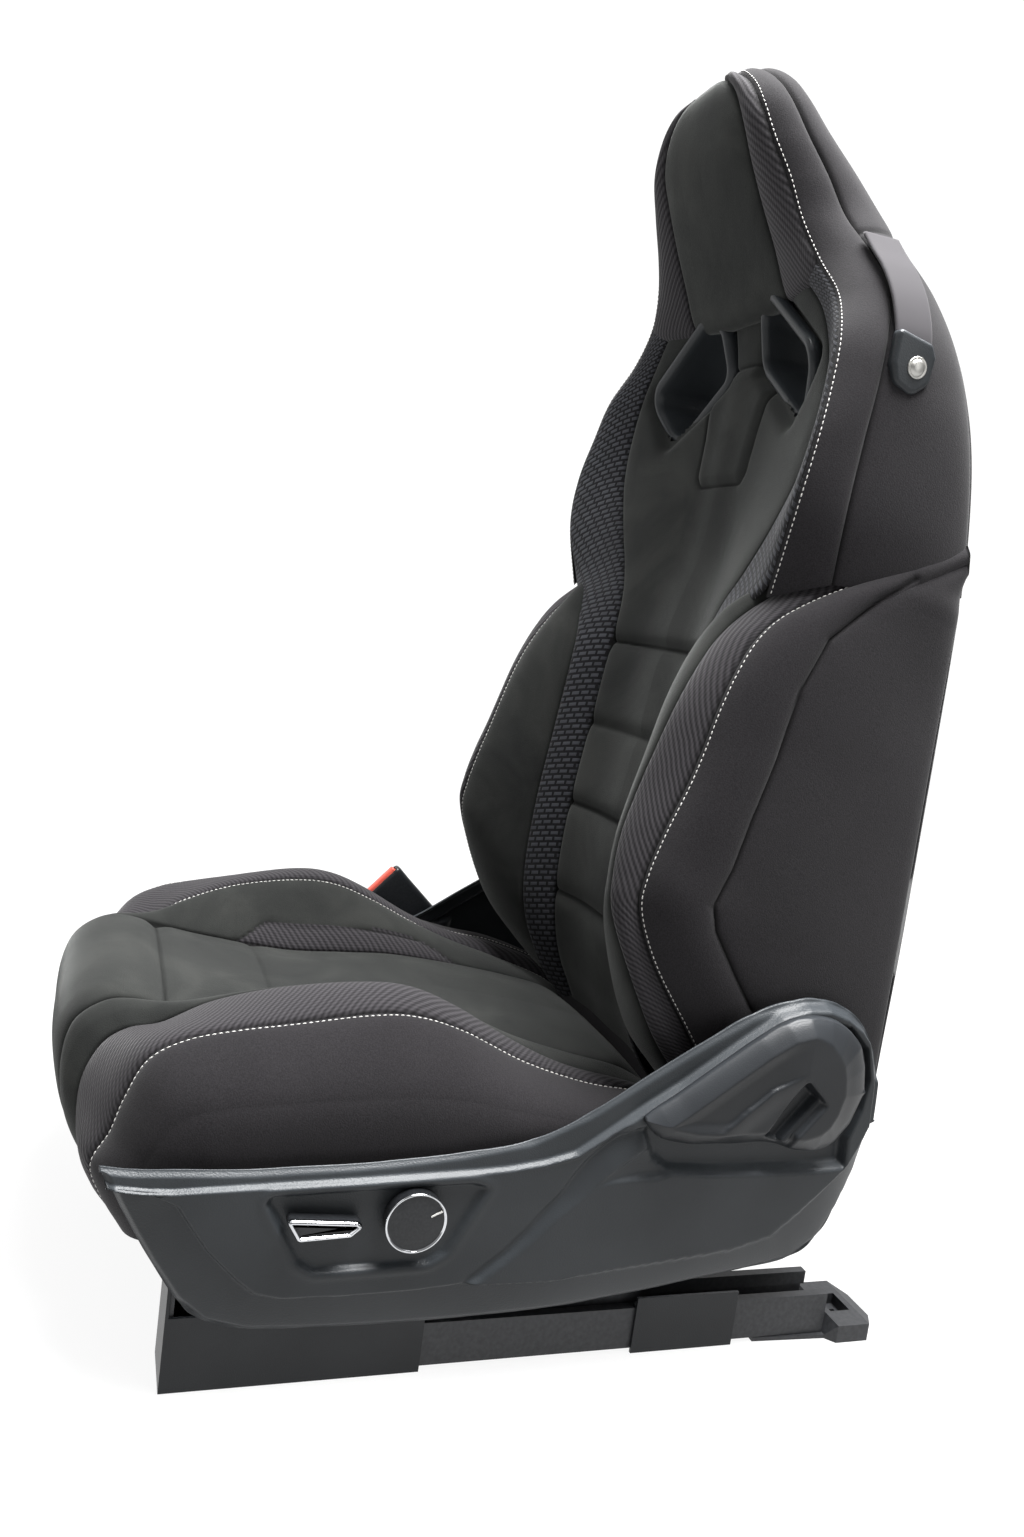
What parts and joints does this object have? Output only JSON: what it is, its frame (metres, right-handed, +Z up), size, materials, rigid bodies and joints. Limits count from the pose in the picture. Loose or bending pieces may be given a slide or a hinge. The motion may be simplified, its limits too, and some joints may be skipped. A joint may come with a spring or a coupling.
{
  "type": "racing seat",
  "caption": "Bucket sports seat for a car: suede middle, raised cloth bolsters, harness slots under a fixed head, side shields with switches and lever, on floor rails.",
  "frame": {"origin": "on the floor, in the middle of the whole seat's length and width", "axes": "+Z up, the sitter faces -Y, +X towards the sitter's left, where the controls are"},
  "size_m": [0.615, 0.709, 1.09],
  "materials": {
    "steel": "black painted steel, slightly worn",
    "zinc": "zinc plated",
    "plastic": "fine moulded grain",
    "bright": "bright satin plating",
    "suede": "brushed suede cloth",
    "cloth": "fine woven cloth",
    "red": "smooth moulded"
  },
  "bodies": {
    "track": {"lower_rail_left": "steel", "lower_rail_right": "steel", "rear_foot_left": "steel", "rear_foot_right": "steel", "rail_cover_front_left": "plastic", "rail_cover_front_right": "plastic", "rail_cover_rear_left": "plastic", "rail_cover_rear_right": "plastic", "lead_screw_left": "zinc", "lead_screw_right": "zinc"},
    "carriage": {"upper_rail_left": "steel", "upper_rail_right": "steel", "track_gearbox_left": "zinc", "track_gearbox_right": "zinc", "track_motor": "zinc", "drive_shaft": "plastic"},
    "rear_links": {"rear_link_left": "steel", "rear_link_right": "steel", "rear_torque_tube": "steel"},
    "front_links": {"front_link_left": "steel", "front_link_right": "steel", "front_torque_tube": "steel"},
    "seat_base": {"side_frame_left": "steel", "side_frame_right": "steel", "seat_pan": "steel", "lift_motor": "zinc", "cushion_insert": "suede", "cushion_bolster_left": "cloth", "cushion_bolster_right": "cloth", "side_shield_left": "plastic", "side_shield_right": "plastic", "switch_panel": "plastic", "recliner_left": "zinc", "recliner_right": "zinc", "buckle_bolt": "zinc"},
    "backrest": {"back_frame": "steel", "lumbar_mat": "zinc", "back_insert": "suede", "shoulder_insert": "suede", "back_bolster_left": "cloth", "back_bolster_right": "cloth", "shoulder_bolster_left": "cloth", "shoulder_bolster_right": "cloth", "slot_bezel_left": "plastic", "slot_bezel_right": "plastic", "head_pad": "suede", "back_panel": "cloth", "belt_guide_stud": "zinc"},
    "belt_guide": {"belt_guide_strap": "cloth", "belt_guide_tab": "plastic"},
    "lever": {"recline_lever": "plastic", "recliner_rod": "zinc"},
    "lift_switch": {"switch_carrier": "plastic"},
    "slide_switch": {"switch_paddle": "bright"},
    "lumbar_tilt": {"lumbar_gimbal": "plastic"},
    "lumbar_switch": {"lumbar_dial": "plastic"},
    "buckle": {"buckle_stalk": "steel", "buckle_shell": "plastic"},
    "release": {"buckle_button": "red"}
  },
  "joints": [
    {"name": "track_slide", "type": "slide", "parent": "track", "child": "carriage", "axis": [0, 1, 0], "range_m": [-0.035, 0.16]},
    {"name": "lift_rear", "type": "hinge", "parent": "carriage", "child": "rear_links", "pos_m": [0, 0.095, 0.082], "axis": [1, 0, 0], "range_deg": [0, 35]},
    {"name": "lift_level", "type": "hinge", "parent": "rear_links", "child": "seat_base", "pos_m": [0, 0.18303, 0.10071], "axis": [1, 0, 0], "range_deg": [-35, 0]},
    {"name": "lift_front", "type": "hinge", "parent": "carriage", "child": "front_links", "pos_m": [0, -0.2, 0.082], "axis": [1, 0, 0], "range_deg": [0, 35]},
    {"name": "recline", "type": "hinge", "parent": "seat_base", "child": "backrest", "pos_m": [0, 0.21, 0.254], "axis": [-1, 0, 0], "range_deg": [-20, 42]},
    {"name": "lever_pull", "type": "hinge", "parent": "seat_base", "child": "lever", "pos_m": [0, 0.21, 0.254], "axis": [-1, 0, 0], "range_deg": [0, 18], "stiffness_Nm_per_rad": 3, "springref_deg": -17.19},
    {"name": "lift_press", "type": "slide", "parent": "seat_base", "child": "lift_switch", "axis": [0, 0, 1], "range_m": [-0.003, 0.003], "stiffness_N_per_m": 900},
    {"name": "slide_press", "type": "slide", "parent": "lift_switch", "child": "slide_switch", "axis": [0, 1, 0], "range_m": [-0.003, 0.003], "stiffness_N_per_m": 600},
    {"name": "lumbar_up", "type": "hinge", "parent": "seat_base", "child": "lumbar_tilt", "pos_m": [0.277, -0.103, 0.153], "axis": [0, 1, 0], "range_deg": [-3, 3], "stiffness_Nm_per_rad": 4},
    {"name": "lumbar_along", "type": "hinge", "parent": "lumbar_tilt", "child": "lumbar_switch", "pos_m": [0.277, -0.103, 0.153], "axis": [0, 0, 1], "range_deg": [-3, 3], "stiffness_Nm_per_rad": 4},
    {"name": "buckle_swing", "type": "hinge", "parent": "seat_base", "child": "buckle", "pos_m": [0, 0.15, 0.112], "axis": [1, 0, 0], "range_deg": [-20, 15]},
    {"name": "release_press", "type": "slide", "parent": "buckle", "child": "release", "axis": [0, 0.7431, -0.6691], "range_m": [0, 0.005], "stiffness_N_per_m": 600, "springref_m": -0.004},
    {"name": "guide_swing", "type": "hinge", "parent": "backrest", "child": "belt_guide", "pos_m": [0.1875, 0.216, 0.926], "axis": [0, -1, 0], "range_deg": [0, 25]}
  ],
  "couplings": [
    {"joint": "lift_level", "follows": "lift_rear", "ratio": -1},
    {"joint": "lift_front", "follows": "lift_rear", "ratio": 1}
  ]
}
